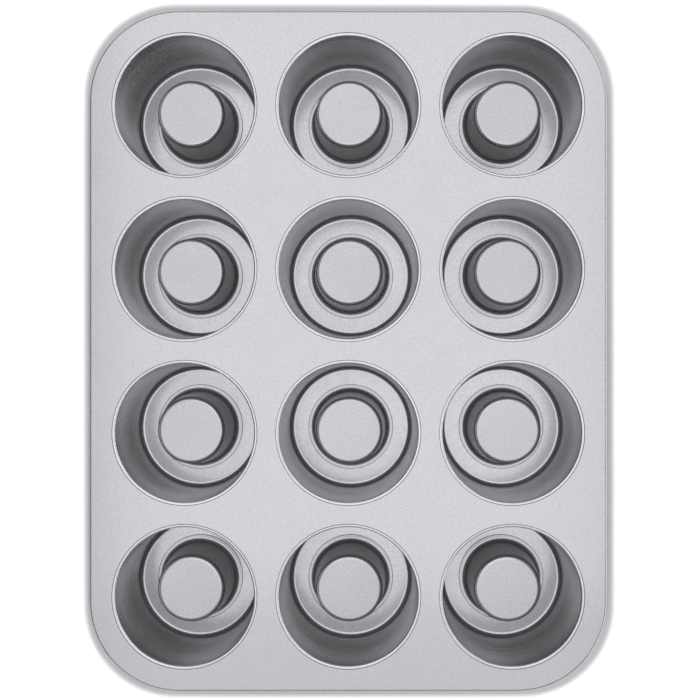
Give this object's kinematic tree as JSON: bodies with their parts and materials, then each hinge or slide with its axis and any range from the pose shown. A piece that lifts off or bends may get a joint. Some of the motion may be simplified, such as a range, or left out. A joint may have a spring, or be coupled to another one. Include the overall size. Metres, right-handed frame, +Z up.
{
  "type": "muffin tin",
  "caption": "Rectangular muffin tin: drawn round cups with raised round cores, seamed into a flat deck with a flared, wired rim.",
  "frame": {"origin": "middle of the resting plane, under the centre of the tin", "axes": "+Z up out of the cups, +Y along the four rows, +X along the three columns"},
  "size_m": [0.267, 0.35, 0.0354],
  "materials": {
    "coated_sheet": "satin, very finely speckled light grey non-stick coating",
    "wire": "bare drawn wire"
  },
  "bodies": {
    "root": {"frame": "coated_sheet", "rim_wire": "wire", "cup_row1_col1": "coated_sheet", "cup_row1_col2": "coated_sheet", "cup_row1_col3": "coated_sheet", "cup_row2_col1": "coated_sheet", "cup_row2_col2": "coated_sheet", "cup_row2_col3": "coated_sheet", "cup_row3_col1": "coated_sheet", "cup_row3_col2": "coated_sheet", "cup_row3_col3": "coated_sheet", "cup_row4_col1": "coated_sheet", "cup_row4_col2": "coated_sheet", "cup_row4_col3": "coated_sheet", "core_row1_col1": "coated_sheet", "core_row1_col2": "coated_sheet", "core_row1_col3": "coated_sheet", "core_row2_col1": "coated_sheet", "core_row2_col2": "coated_sheet", "core_row2_col3": "coated_sheet", "core_row3_col1": "coated_sheet", "core_row3_col2": "coated_sheet", "core_row3_col3": "coated_sheet", "core_row4_col1": "coated_sheet", "core_row4_col2": "coated_sheet", "core_row4_col3": "coated_sheet"}
  },
  "joints": []
}
